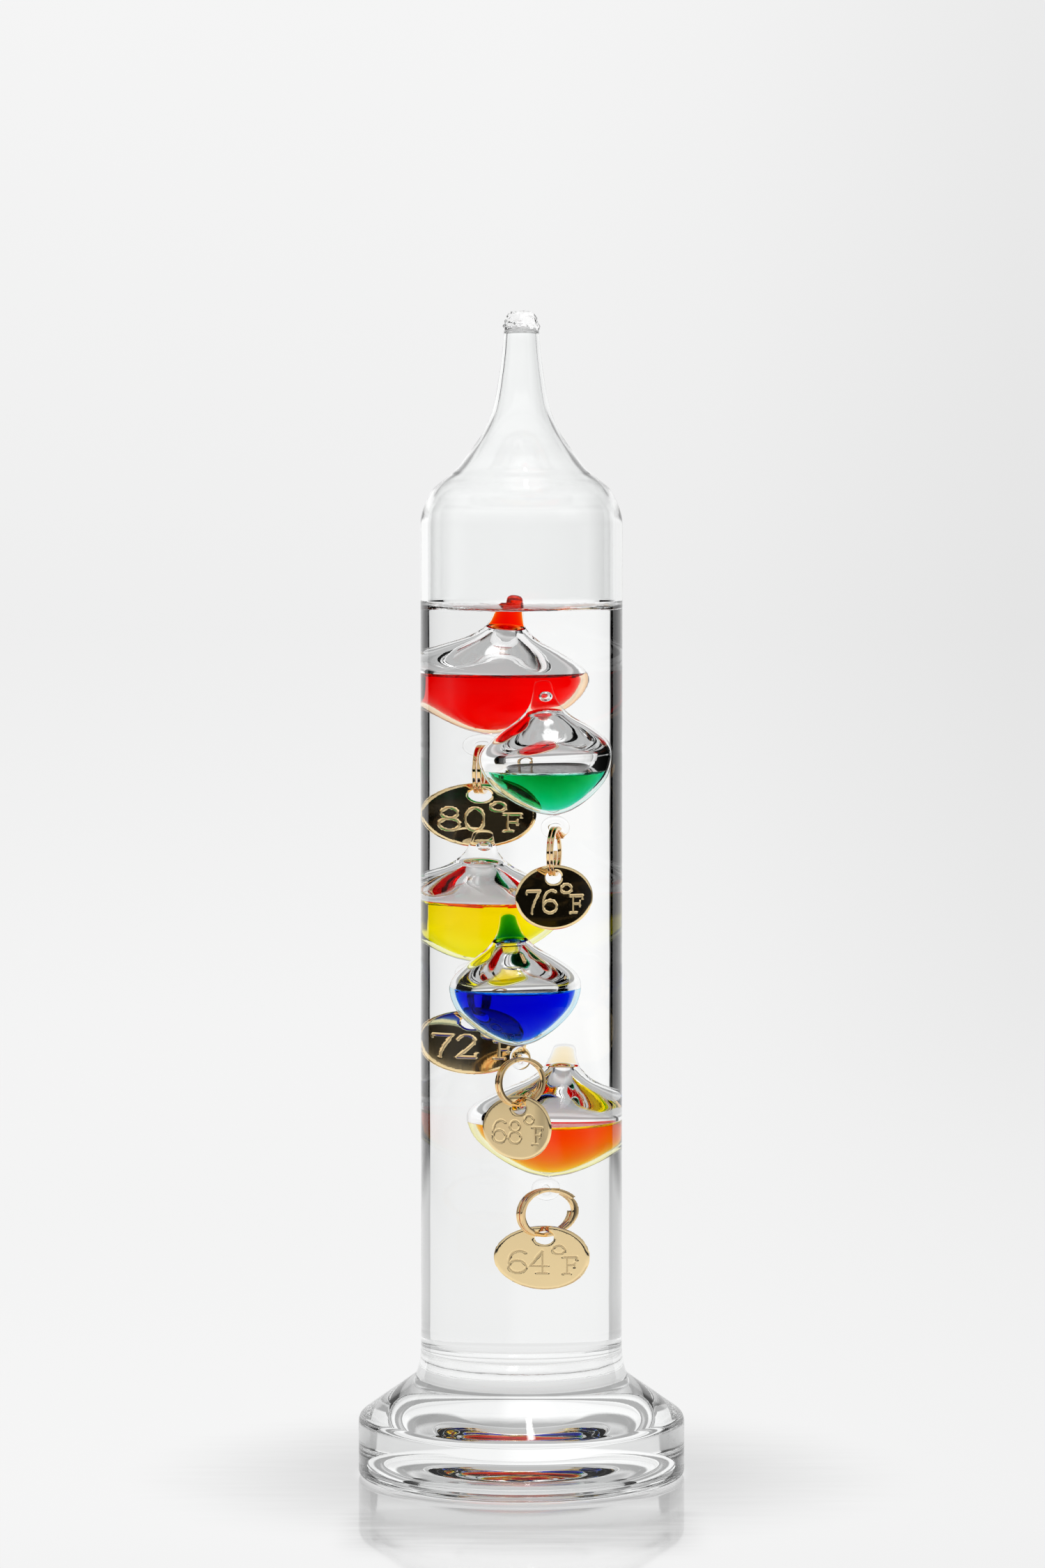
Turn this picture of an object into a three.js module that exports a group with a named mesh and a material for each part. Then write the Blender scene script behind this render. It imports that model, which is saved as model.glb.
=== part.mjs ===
// Galileo thermometer: a sealed glass column on a heavy glass foot. Inside it five dyed glass
// floats, each with a gold temperature tag on a split ring, rise and sink as the liquid warms.
// Millimetres, +Z up. The origin is the centre of the foot's underside.
import * as THREE from 'three';

// ---- column ---------------------------------------------------------------------------------
const COLUMN_RADIUS = 24;
const COLUMN_WALL = 2;
const COLUMN_BOTTOM = 27.4;
const COLUMN_FLOOR = 29.6;
const COLUMN_CORNER = 2.4;
const SHOULDER_START = 228;
const NECK_TOP = 273.3;
const TIP_BORE_RADIUS = 1.2;
// outer curve of the shoulder and the drawn neck, as [radius, height]
const SHOULDER_CURVE = [
  [24, 228], [22.4, 232.8], [18.2, 237.6], [13.2, 242.7], [9.3, 248.3], [6.2, 256.5], [4.5, 267.2],
  [4.1, 273.3],
];
// inner curve of the same stretch, from the tip's bore down to the straight wall
const SHOULDER_BORE = [
  [TIP_BORE_RADIUS, 273.3], [2.6, 271.6], [3.4, 267.2], [5.1, 256.5], [8.1, 248.3], [11.9, 242.7],
  [16.9, 236.6], [20.8, 231.6], [22, 226.5],
];
const TIP_SEAL_TOP = 277.5;
const TIP_SEAL_RADIUS = 4.1;
// the seal's bulge above its lower face, as [radius, height]
const TIP_SEAL_CURVE = [[3.6, 0], [TIP_SEAL_RADIUS, 0.8], [3.7, 1.8], [2.9, 3.1], [1.4, 3.75]];

// ---- foot -----------------------------------------------------------------------------------
const FOOT_RADIUS = 39;
const FOOT_RIM_HEIGHT = 12.6;
const FOOT_SHOULDER_RADIUS = 3;
const FOOT_NECK_RADIUS = 25.5;
const FOOT_NECK_HEIGHT = 23.7;
const FOOT_TOP = 26;
const FOOT_TOP_RADIUS = 24.3;
const FOOT_EDGE = 0.8;
// the underside: a hollow with a flat crown and rounded sides, then a shallow step to the contact ring
const HOLLOW_HEIGHT = 6.4;
const HOLLOW_CROWN_RADIUS = 11;
const HOLLOW_RADIUS = 24.5;
const STEP_HEIGHT = 0.4;
const STEP_RADIUS = 28.6;
const CONTACT_RADIUS = 29.6;
const GAP = 0.3;
const BOND_RADIUS = 23;
const BOND_WAIST = 0.4;
const BOND_TOP_RADIUS = 22.2;

// ---- floats ---------------------------------------------------------------------------------
const FLOAT_RADIUS = 12.8;
const FLOAT_WALL = 0.9;
const STEM_TOP = 19;
const STEM_RADIUS = 1.7;
const STEM_BORE_RADIUS = 0.7;
const SEAL_HEIGHT = 1.2;
const SEAL_RADIUS = 1.6;
const SEAL_FOOT_RADIUS = 1.4;
// the straight edge at the top of the dye
const DYE_RIM = 0.4;
// outer curve from the lowest point up to the stem's lip, measured from the float's widest plane
const FLOAT_CURVE = [
  [0, -13.1], [3.6, -11.9], [7.7, -8.9], [11.3, -4.7], [FLOAT_RADIUS, 0], [12, 3.4], [8.8, 6.9],
  [5, 10.1], [2.7, 13], [1.9, 15.4], [STEM_RADIUS, STEM_TOP - SEAL_HEIGHT - GAP],
];
const EYE_HOLE_RADIUS = 1.2;
const EYE_WIRE_RADIUS = 0.75;
const EYE_DROP = 15.9;

// ---- split rings and tags ---------------------------------------------------------------------
const RING_RADIUS = 5.4;
const RING_WIRE_WIDE = 0.9;
const RING_WIRE_THICK = 0.55;
const RING_PITCH = 0.75;
const RING_TURNS = 1.9;
const RING_START_DEG = 35;
const RING_HANG = 0.2;
const TAG_RADIUS = 7.65;
const TAG_THICKNESS = 0.5;
const TAG_HOLE_RADIUS = 1.6;
const TAG_HOLE_OFFSET = 4.75;
const TAG_HANG = 0.7;

// Each float: its widest plane's centre, how far its stem leans towards +X and +Y in degrees, the
// height of its dye above the widest plane, and the directions of its ring and tag planes about Z.
const FLOATS = [
  { name: 'red', at: [-3.6, 7.8, 189.9], lean: [6, -7], dye: 1, ring: 75, tag: 0, colour: 0xee1500 },
  { name: 'green', at: [5.1, -5.7, 171.3], lean: [-4, 0], dye: -3, ring: 86, tag: 24, colour: 0x00a066 },
  { name: 'yellow', at: [-6.3, 6.1, 135.7], lean: [1, -8], dye: 1.1, ring: 68, tag: -2, colour: 0xffdc00 },
  { name: 'blue', at: [-1.3, -8.4, 116.9], lean: [-4, -1], dye: 0, ring: 39, tag: -33, colour: 0x0000c8 },
  { name: 'orange', at: [4.9, 6.2, 84.5], lean: [4.5, 0], dye: -0.6, ring: 48, tag: -20, colour: 0xff5000 },
];

const COLUMN_SIDES = 36;
const FLOAT_SIDES = 20;
const FLOAT_STEPS = 13;

const clearGlass = { color: 0xf4f8f8, roughness: 0.03, metalness: 0 };
const gold = { color: 0xd6a652, roughness: 0.18, metalness: 1 };

const radians = THREE.MathUtils.degToRad;
const point = (pair) => new THREE.Vector2(pair[0], pair[1]);

function signedVolume(geometry) {
  const position = geometry.attributes.position;
  const index = geometry.index;
  const count = index ? index.count : position.count;
  const corners = [new THREE.Vector3(), new THREE.Vector3(), new THREE.Vector3()];
  let volume = 0;
  for (let i = 0; i < count; i += 3) {
    corners.forEach((corner, k) => {
      corner.fromBufferAttribute(position, index ? index.getX(i + k) : i + k);
    });
    volume += corners[0].dot(corners[1].cross(corners[2])) / 6;
  }
  return volume;
}

// A solid of revolution about Z. The outline starts and ends on the axis, or closes on itself.
function turned(outline, sides) {
  const geometry = new THREE.LatheGeometry(outline, sides);
  geometry.rotateX(Math.PI / 2);
  if (signedVolume(geometry) < 0) {
    const index = geometry.index;
    for (let i = 0; i < index.count; i += 3) {
      const first = index.getX(i);
      index.setX(i, index.getX(i + 1));
      index.setX(i + 1, first);
    }
  }
  return geometry;
}

function arc(cx, cy, radius, fromDeg, toDeg, steps) {
  const points = [];
  for (let i = 0; i <= steps; i += 1) {
    const angle = radians(fromDeg + ((toDeg - fromDeg) * i) / steps);
    points.push(new THREE.Vector2(cx + radius * Math.cos(angle), cy + radius * Math.sin(angle)));
  }
  return points;
}

function smooth(pairs, steps) {
  return new THREE.SplineCurve(pairs.map(point)).getPoints(steps);
}

function piece(name, geometry, look) {
  const mesh = new THREE.Mesh(geometry, new THREE.MeshStandardMaterial(look));
  mesh.name = name;
  return mesh;
}

// ---- root pieces --------------------------------------------------------------------------------
function columnGeometry() {
  const cornerZ = COLUMN_BOTTOM + COLUMN_CORNER;
  const inner = COLUMN_RADIUS - COLUMN_WALL;
  const outline = [
    new THREE.Vector2(0, COLUMN_BOTTOM),
    ...arc(COLUMN_RADIUS - COLUMN_CORNER, cornerZ, COLUMN_CORNER, -90, 0, 4),
    ...smooth(SHOULDER_CURVE, 13),
    ...smooth(SHOULDER_BORE, 11),
    ...arc(inner - COLUMN_CORNER, COLUMN_FLOOR + COLUMN_CORNER, COLUMN_CORNER, 0, -90, 3),
    new THREE.Vector2(0, COLUMN_FLOOR),
  ];
  return turned(outline, COLUMN_SIDES);
}

function tipSealGeometry() {
  const bottom = NECK_TOP + GAP;
  const bulge = TIP_SEAL_CURVE.map(([radius, height]) => [radius, bottom + height]);
  return turned([[0, bottom], ...bulge, [0, TIP_SEAL_TOP]].map(point), 16);
}

// A quarter of an ellipse, from the crown's rim down to the step.
function hollowSide() {
  const steps = 7;
  const points = [];
  for (let i = 0; i <= steps; i += 1) {
    const angle = ((Math.PI / 2) * i) / steps;
    const radius = HOLLOW_CROWN_RADIUS + (HOLLOW_RADIUS - HOLLOW_CROWN_RADIUS) * Math.sin(angle);
    points.push(new THREE.Vector2(radius, STEP_HEIGHT + (HOLLOW_HEIGHT - STEP_HEIGHT) * Math.cos(angle)));
  }
  return points;
}

function footGeometry() {
  const roundX = FOOT_RADIUS - FOOT_SHOULDER_RADIUS;
  const outline = [
    new THREE.Vector2(0, HOLLOW_HEIGHT),
    ...hollowSide(),
    new THREE.Vector2(STEP_RADIUS, STEP_HEIGHT),
    new THREE.Vector2(CONTACT_RADIUS, 0),
    ...arc(FOOT_RADIUS - FOOT_EDGE, FOOT_EDGE, FOOT_EDGE, -90, 0, 2),
    ...arc(roundX, FOOT_RIM_HEIGHT, FOOT_SHOULDER_RADIUS, 0, 52, 4),
    new THREE.Vector2(FOOT_NECK_RADIUS, FOOT_NECK_HEIGHT),
    new THREE.Vector2(FOOT_TOP_RADIUS, FOOT_TOP),
    new THREE.Vector2(0, FOOT_TOP),
  ];
  return turned(outline, COLUMN_SIDES);
}

function bondGeometry() {
  const low = FOOT_TOP + GAP;
  const high = COLUMN_BOTTOM - GAP;
  const waist = [BOND_RADIUS - BOND_WAIST, (low + high) / 2];
  const outline = [[0, low], [BOND_RADIUS, low], waist, [BOND_TOP_RADIUS, high], [0, high]];
  return turned(outline.map(point), COLUMN_SIDES);
}

// ---- float pieces -------------------------------------------------------------------------------
// The float's outer curve moved inwards by a depth, up to a height where given.
function insideCurve(depth, steps, topZ = Infinity) {
  const curve = new THREE.SplineCurve(FLOAT_CURVE.map(point));
  const points = [];
  for (let i = 0; i <= steps; i += 1) {
    const spot = curve.getPoint(i / steps);
    const along = curve.getTangent(i / steps);
    const inward = new THREE.Vector2(-along.y, along.x);
    const moved = spot.add(inward.multiplyScalar(depth));
    moved.x = i === 0 ? 0 : Math.max(moved.x, STEM_BORE_RADIUS);
    if (moved.y <= topZ) {
      points.push(moved);
    }
  }
  return points;
}

function shellGeometry() {
  const outside = insideCurve(0, FLOAT_STEPS);
  const inside = insideCurve(FLOAT_WALL, FLOAT_STEPS - 1).reverse();
  inside[0].set(STEM_BORE_RADIUS, outside[outside.length - 1].y);
  return turned([...outside, ...inside], FLOAT_SIDES);
}

function dyeGeometry(level) {
  const wall = insideCurve(FLOAT_WALL + GAP, FLOAT_STEPS, level - DYE_RIM);
  const rim = wall[wall.length - 1].x;
  return turned([...wall, new THREE.Vector2(rim, level), new THREE.Vector2(0, level)], FLOAT_SIDES);
}

function stemSealGeometry() {
  const bottom = STEM_TOP - SEAL_HEIGHT;
  const flatten = SEAL_HEIGHT / SEAL_RADIUS;
  const dome = arc(0, 0, SEAL_RADIUS, 10, 90, 3).map((p) => {
    return new THREE.Vector2(Math.abs(p.x) < 1e-6 ? 0 : p.x, bottom + p.y * flatten);
  });
  return turned([new THREE.Vector2(0, bottom), new THREE.Vector2(SEAL_FOOT_RADIUS, bottom), ...dome], 10);
}

// A closed glass loop whose hole faces along X.
function eyeGeometry() {
  const geometry = new THREE.TorusGeometry(EYE_HOLE_RADIUS + EYE_WIRE_RADIUS, EYE_WIRE_RADIUS, 6, 14);
  geometry.rotateY(Math.PI / 2);
  return geometry;
}

// A flat wire wound in two turns. Its section keeps its wide side along the radius.
class RingPath extends THREE.Curve {
  getPoint(t, target = new THREE.Vector3()) {
    const angle = radians(RING_START_DEG) + t * RING_TURNS * 2 * Math.PI;
    const turnsFromTop = (angle - Math.PI / 2) / (2 * Math.PI);
    const across = RING_PITCH * (turnsFromTop - 0.5);
    return target.set(RING_RADIUS * Math.cos(angle), across, RING_RADIUS * Math.sin(angle));
  }

  computeFrenetFrames(segments) {
    const frames = { tangents: [], normals: [], binormals: [] };
    for (let i = 0; i <= segments; i += 1) {
      const tangent = this.getTangentAt(i / segments);
      const spot = this.getPointAt(i / segments);
      const radial = new THREE.Vector3(spot.x, 0, spot.z).normalize();
      frames.tangents.push(tangent);
      frames.normals.push(radial);
      frames.binormals.push(new THREE.Vector3().crossVectors(tangent, radial).normalize());
    }
    return frames;
  }
}

function ringGeometry() {
  const wide = RING_WIRE_WIDE / 2;
  const thick = RING_WIRE_THICK / 2;
  const corners = [[-wide, -thick], [wide, -thick], [wide, thick], [-wide, thick]];
  const section = new THREE.Shape(corners.map(point));
  return new THREE.ExtrudeGeometry(section, { steps: 36, extrudePath: new RingPath() });
}

// The tag hangs in the XZ plane. Its hole's centre is the origin.
function tagGeometry() {
  const disc = new THREE.Shape();
  disc.absarc(0, -TAG_HOLE_OFFSET, TAG_RADIUS, 0, 2 * Math.PI, false);
  const hole = new THREE.Path();
  hole.absarc(0, 0, TAG_HOLE_RADIUS, 0, 2 * Math.PI, true);
  disc.holes.push(hole);
  const sheet = { depth: TAG_THICKNESS, bevelEnabled: false, curveSegments: 11 };
  const geometry = new THREE.ExtrudeGeometry(disc, sheet);
  geometry.translate(0, 0, -TAG_THICKNESS / 2);
  geometry.rotateX(Math.PI / 2);
  return geometry;
}

function floatGroup(spec) {
  const bulb = new THREE.Group();
  const [leanX, leanY] = spec.lean;
  bulb.position.set(...spec.at);
  bulb.rotation.set(radians(-leanY), radians(leanX), 0);
  bulb.add(piece(`${spec.name}_float_shell`, shellGeometry(), clearGlass));
  const dyeLook = { color: spec.colour, roughness: 0.1, metalness: 0 };
  bulb.add(piece(`${spec.name}_float_dye`, dyeGeometry(spec.dye), dyeLook));
  bulb.add(piece(`${spec.name}_stem_seal`, stemSealGeometry(), clearGlass));
  bulb.updateMatrixWorld(true);

  // the eye turns with its ring, and the ring and tag hang straight down from it
  const eyeCentre = bulb.localToWorld(new THREE.Vector3(0, 0, -EYE_DROP));
  const eye = piece(`${spec.name}_float_eye`, eyeGeometry(), clearGlass);
  eye.position.copy(eyeCentre);
  eye.rotation.z = radians(spec.ring);

  const ring = piece(`${spec.name}_split_ring`, ringGeometry(), gold);
  ring.position.copy(eyeCentre);
  ring.position.z -= RING_HANG + RING_RADIUS;
  ring.rotation.z = radians(spec.ring);

  // the two turns cross the ring's foot half a pitch off its middle plane
  const offset = RING_PITCH / 2;
  const tag = piece(`${spec.name}_tag`, tagGeometry(), gold);
  tag.position.copy(ring.position);
  tag.position.x -= offset * Math.sin(radians(spec.ring));
  tag.position.y += offset * Math.cos(radians(spec.ring));
  tag.position.z -= RING_RADIUS + TAG_HANG;
  tag.rotation.z = radians(spec.tag);

  const group = new THREE.Group();
  group.add(bulb, eye, ring, tag);
  return group;
}

const thermometer = new THREE.Group();
thermometer.name = 'galileo_thermometer';
thermometer.add(piece('glass_column', columnGeometry(), clearGlass));
thermometer.add(piece('tip_seal', tipSealGeometry(), clearGlass));
thermometer.add(piece('glass_foot', footGeometry(), clearGlass));
thermometer.add(piece('bond_layer', bondGeometry(), { color: 0xe8eef0, roughness: 0.2, metalness: 0 }));
FLOATS.forEach((spec) => thermometer.add(floatGroup(spec)));

export default thermometer;
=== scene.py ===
import math

import bmesh
import bpy
import numpy as np
from mathutils import Matrix, Vector, noise
from mathutils.geometry import delaunay_2d_cdt


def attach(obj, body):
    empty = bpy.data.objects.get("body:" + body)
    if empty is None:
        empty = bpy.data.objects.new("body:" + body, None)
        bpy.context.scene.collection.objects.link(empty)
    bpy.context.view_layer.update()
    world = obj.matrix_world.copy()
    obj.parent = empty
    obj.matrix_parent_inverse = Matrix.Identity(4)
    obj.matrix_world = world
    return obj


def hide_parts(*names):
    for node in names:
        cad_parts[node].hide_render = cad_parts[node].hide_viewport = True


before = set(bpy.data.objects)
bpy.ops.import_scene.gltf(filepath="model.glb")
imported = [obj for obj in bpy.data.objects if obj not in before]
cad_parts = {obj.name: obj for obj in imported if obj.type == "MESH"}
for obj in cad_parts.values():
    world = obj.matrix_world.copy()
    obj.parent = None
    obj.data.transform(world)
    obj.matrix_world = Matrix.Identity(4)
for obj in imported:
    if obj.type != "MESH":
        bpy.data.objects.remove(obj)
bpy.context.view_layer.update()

MM = 0.001
WELD = 1e-7

# ---- refraction indices ---------------------------------------------------------------------
N_GLASS = 1.475
N_LIQUID = 1.44
N_FLOAT_GLASS = 1.53
N_DYE = 1.4
N_FOOT = 1.5
N_BOND = 1.49
# the lumpy seal and the liquid's rim bend light less than glass and liquid do, which keeps them bright
N_BEAD = 1.25
N_LIQUID_RIM = 1.12

# ---- column and foot, in millimetres ----------------------------------------------------------
COLUMN_RADIUS = 24
COLUMN_WALL = 1.8
COLUMN_BOTTOM = 27.4
COLUMN_FLOOR = 29.6
COLUMN_CORNER = 2.4
COLUMN_INNER = COLUMN_RADIUS - COLUMN_WALL
INNER_CORNER = 3
COLUMN_SIDES = 160
LIQUID_LEVEL = 206.4
LIQUID_SIDES = 128
MENISCUS_RISE = 2.3
# a liquid reaches this far into the glass round it, so that no gap shows between them
LAP = 0.03
TIP_TOP = 277.4
# the seal at the tip: where its lumps begin, how soon they are full, their size and how far they sag
BEAD_START = 272.8
BEAD_GROWTH = 1.2
BEAD_GLASS_START = 273.2
BEAD_LUMP = 0.38
BEAD_LUMPS_PER_METRE = 900
BEAD_SAG = 0.15
BEAD_SEED = 3
FOOT_RADIUS = 39
FOOT_EDGE = 1.2
FOOT_RIM_TOP = 12.6
FOOT_SHOULDER = 3
FOOT_SHOULDER_TURN = 52
FOOT_NECK = (25.5, 23.7)
FOOT_NECK_TOP_RADIUS = 24.3
FOOT_TOP = 26
FOOT_SIDES = 192
BOND_RADIUS = 23.2
BOND_GAP = 0.02
# the adhesive's fillet: its skin from the foot up to the column, and its back inside the glass
BOND_SKIN = [(25.52, 23.68), (25.1, 24.4), (24.7, 25.6), (24.4, 27), (24.15, 28.5), (24.02, 29.85)]
BOND_BACK = [
    (24.02, 29.85), (23.97, 29.7), (23.6, 28.4), (23.3, 27.2), (23.7, 26.1), (24.5, 26), (25.52, 23.68),
]
# the underside's hollow: a flat crown, sides curved like a quarter ellipse, then a step to the contact ring
HOLLOW_HEIGHT = 6.4
HOLLOW_LOW = 0.5
HOLLOW_STEPS = 48
HOLLOW_CROWN_RADIUS = 11
HOLLOW_RADIUS = 24.5
HOLLOW_STEP = [(25.2, 0.4), (28.4, 0.4), (29, 0.3), (29.6, 0)]
# the shoulder and neck, the seal at the tip, and the inside from the tip down
COLUMN_OUTSIDE = [
    (24, 226), (23.9, 228), (23.4, 230.2), (22.3, 233), (20.9, 235.3), (18.2, 237.6), (15.6, 239.7),
    (13.2, 242.7), (11.4, 245.2), (9.3, 248.3), (7.4, 252.4), (6.2, 256.8), (5.3, 262), (4.6, 267.2),
    (4.15, 272.6),
]
TIP_OUTSIDE = [
    (4.15, 272.6), (4.3, 273.1), (4.35, 273.8), (4.0, 274.4), (3.75, 275.1), (3.6, 275.9), (3.0, 276.8),
    (1.8, 277.25), (0, TIP_TOP),
]
COLUMN_INSIDE = [
    (0, 273.6), (1.6, 273.45), (2.9, 272.9), (3.4, 271.8), (3.75, 267.2), (4.4, 262), (5.2, 256.8),
    (6.4, 252.2), (8.2, 248.2), (10.4, 244.6), (12.2, 242), (14.7, 239), (17.3, 236.9), (19.9, 234.4),
    (21.3, 231.8), (22.05, 229.4), (COLUMN_INNER, 227),
]

# ---- floats ------------------------------------------------------------------------------------
FLOAT_BOTTOM = -13.1
FLOAT_CURVE = [
    (0, FLOAT_BOTTOM), (3.6, -11.9), (7.7, -8.9), (11.3, -4.7), (12.8, 0), (12, 3.4), (8.8, 6.9), (5, 10.1),
    (2.85, 13), (2.05, 15.4), (1.7, 17.4), (1.5, 18.3), (0.95, 18.85), (0, 19),
]
STEM_TOP = 19
FLOAT_SIDES = 96
FLOAT_WALL = 0.75
# a longer stem grows and swells from this height, over this much of it
STEM_START = 13
STEM_STRETCH = 5
STEM_SWELL = 0.14
# the air space ends in a dome this high
DOME_RISE = 1.3
# dye held in a stem: how deep it lies, how far it reaches down round the air, how far its side stays below
# the tip, the height of its cap, and its gap above the air
PLUG_DEPTH = 0.32
PLUG_SKIRT = 1.1
PLUG_BELOW_TIP = 1.5
PLUG_CAP = 1.0
PLUG_GAP = 0.12
PLUG_SIDES = 64
BUBBLE_RADIUS = 1.25
BUBBLE_DROP = 3.9
BUBBLE_ASIDE = 0.3
DYE_CLIMB = 0.45
# the dye's surface curves up to the glass in rings this wide, each lower than the one outside it
DYE_RIM_WIDTH = 0.42
DYE_RIM_DEPTHS = (0.42, 0.26, 0.14, 0.06)
DYE_SURFACE_BAND = 1.4
EYE_DROP = 15.9
EYE_HOLE_RADIUS = 1.2
EYE_WIRE_RADIUS = 0.75
EYE_THICKENING = 0.25
EYE_STEPS = 40
EYE_SIDES = 16

# ---- rings and tags ------------------------------------------------------------------------------
RING_RADIUS = 5.4
RING_WIRE_WIDE = 0.95
RING_WIRE_THICK = 0.6
RING_WIRE_CORNER = 0.12
RING_TURNS = 1.9
RING_STEPS = 190
RING_START = 35
RING_HANG = 0.2
RING_PITCH = 0.75
TAG_RADIUS = 7.65
TAG_THICKNESS = 0.5
TAG_HOLE_RADIUS = 1.6
TAG_HOLE_OFFSET = 4.75
TAG_HANG = 0.7
TAG_DOME = 0.03
TAG_EDGE_WIDTH = 0.45
TAG_EDGE_DROP = 0.16
TAG_HOLE_WIDTH = 0.3
TAG_HOLE_DROP = 0.1
GROOVE_HALF_WIDTH = 0.17
GROOVE_DEPTH = 0.1
# distances between the points of a tag's face: along a groove, and elsewhere
GROOVE_STEP = 0.14
FILL_STEP = 0.26

# at: centre of the widest plane; lean: of the stem towards +X and +Y, in degrees; dye: its level above the
# widest plane; ring, tag: the way each faces, in degrees; text: the tag's number; absorb: the dye's
# absorption per metre in red, green and blue, and stem_absorb the same for dye held in the stem; air: the
# air space's top below the stem's tip; plug: whether dye is held in the stem; longer: the stem's extra length
FLOATS = {
    "red": dict(
        at=(-3.6, 7.8, 189.9), lean=(6, -7), dye=1, ring=75, tag=0, text="80",
        absorb=(4, 1300, 3000), stem_absorb=(4, 1300, 3000), air=6.9, plug=True, longer=1.3,
    ),
    "green": dict(
        at=(5.1, -5.7, 171.3), lean=(-4, 0), dye=-3, ring=86, tag=24, text="76",
        absorb=(700, 62, 170), air=6.8, plug=False, longer=0,
    ),
    "yellow": dict(
        at=(-6.3, 6.1, 135.7), lean=(1, -8), dye=1.1, ring=68, tag=-2, text="72",
        absorb=(0.3, 14, 3000), air=6.9, plug=False, longer=0,
    ),
    "blue": dict(
        at=(-1.3, -8.4, 116.9), lean=(-4, -1), dye=0, ring=39, tag=-33, text="68",
        absorb=(1500, 400, 25), stem_absorb=(1500, 400, 25), air=6.2, plug=True, longer=0,
    ),
    "orange": dict(
        at=(4.9, 6.2, 84.5), lean=(4.5, 0), dye=-0.6, ring=48, tag=-20, text="64",
        absorb=(0.5, 135, 2500), stem_absorb=(1, 45, 150), air=4.6, plug=True, longer=0,
    ),
}


# ---- mesh helpers ------------------------------------------------------------------------------
def smooth(points, steps):
    """Catmull-Rom curve through (radius, height) pairs."""
    p = [np.array(q, float) for q in points]
    p = [p[0]] + p + [p[-1]]
    out = []
    for i in range(1, len(p) - 2):
        for t in np.linspace(0, 1, steps, endpoint=False):
            v0, v1 = (p[i + 1] - p[i - 1]) / 2, (p[i + 2] - p[i]) / 2
            a = 2 * p[i] - 2 * p[i + 1] + v0 + v1
            b = -3 * p[i] + 3 * p[i + 1] - 2 * v0 - v1
            out.append(a * t**3 + b * t**2 + v0 * t + p[i])
    out.append(p[-2])
    return [(max(q[0], 0.0), q[1]) for q in out]


def arc(cx, cz, radius, start, end, steps):
    """Points along a round arc, with its angles in degrees."""
    angles = [math.radians(start + (end - start) * i / steps) for i in range(steps + 1)]
    return [(cx + radius * math.cos(a), cz + radius * math.sin(a)) for a in angles]


def inset(profile, depth):
    """The profile moved to its left-hand side, which is inwards for one that runs up the outside."""
    pts = np.array(profile, float)
    along = np.gradient(pts, axis=0)
    along /= np.maximum(np.linalg.norm(along, axis=1, keepdims=True), 1e-9)
    normal = np.stack([-along[:, 1], along[:, 0]], axis=1)
    moved = pts + normal * depth
    moved[:, 0] = np.maximum(moved[:, 0], 0)
    return [tuple(q) for q in moved]


def turned(bm, profile, sides, slot=0, matrix=None):
    """Adds a surface of revolution about Z. It faces right of the profile's direction of travel."""
    rings = []
    for r, z in profile:
        if r < 1e-6:
            rings.append([bm.verts.new((0, 0, z * MM))])
        else:
            turn = [2 * math.pi * j / sides for j in range(sides)]
            rings.append([bm.verts.new((r * MM * math.cos(a), r * MM * math.sin(a), z * MM)) for a in turn])
    faces = []
    for low, high in zip(rings, rings[1:]):
        for j in range(sides):
            k = (j + 1) % sides
            if len(low) == 1 and len(high) == 1:
                continue
            if len(low) == 1:
                loop = (low[0], high[k], high[j])
            elif len(high) == 1:
                loop = (low[j], low[k], high[0])
            else:
                loop = (low[j], low[k], high[k], high[j])
            face = bm.faces.new(loop)
            face.material_index = slot(face) if callable(slot) else slot
            face.smooth = True
            faces.append(face)
    if matrix is not None:
        bmesh.ops.transform(bm, matrix=matrix, verts=[v for ring in rings for v in ring])
    return faces


def make(name, bm, materials, body, nodes, sharp=None):
    """One visual piece that rides a body, stands for some CAD nodes and has a slot."""
    mesh = bpy.data.meshes.new(name)
    bm.normal_update()
    bm.to_mesh(mesh)
    bm.free()
    for material in materials:
        mesh.materials.append(material)
    if sharp is not None:
        mesh.set_sharp_from_angle(angle=math.radians(sharp))
    obj = bpy.data.objects.new(name, mesh)
    bpy.context.scene.collection.objects.link(obj)
    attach(obj, body)
    if nodes:
        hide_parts(*nodes)
    return obj


# ---- materials -----------------------------------------------------------------------------------
def new_material(name):
    """A material with its nodes, its links and its Principled shader."""
    material = bpy.data.materials.new(name)
    material.use_nodes = True
    nodes = material.node_tree.nodes
    return material, nodes, material.node_tree.links, nodes["Principled BSDF"]


def add_bump(nodes, links, shader, scale, strength, distance, stretch=(1, 1, 1)):
    """Fine unevenness from a stretched noise in object space."""
    coords = nodes.new("ShaderNodeTexCoord")
    mapping = nodes.new("ShaderNodeMapping")
    mapping.inputs["Scale"].default_value = stretch
    grain = nodes.new("ShaderNodeTexNoise")
    grain.inputs["Scale"].default_value = scale
    grain.inputs["Detail"].default_value = 3
    bump = nodes.new("ShaderNodeBump")
    bump.inputs["Strength"].default_value = strength
    bump.inputs["Distance"].default_value = distance
    links.new(coords.outputs["Object"], mapping.inputs["Vector"])
    links.new(mapping.outputs["Vector"], grain.inputs["Vector"])
    links.new(grain.outputs["Fac"], bump.inputs["Height"])
    links.new(bump.outputs["Normal"], shader.inputs["Normal"])
    return grain


GLASS_TINT = (0.985, 0.992, 0.99)
SOFT_SPECULAR = (0.5, 0.5, 0.5, 1)
FAINT_WAVES = dict(scale=90, strength=0.06, distance=0.0002)


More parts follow.
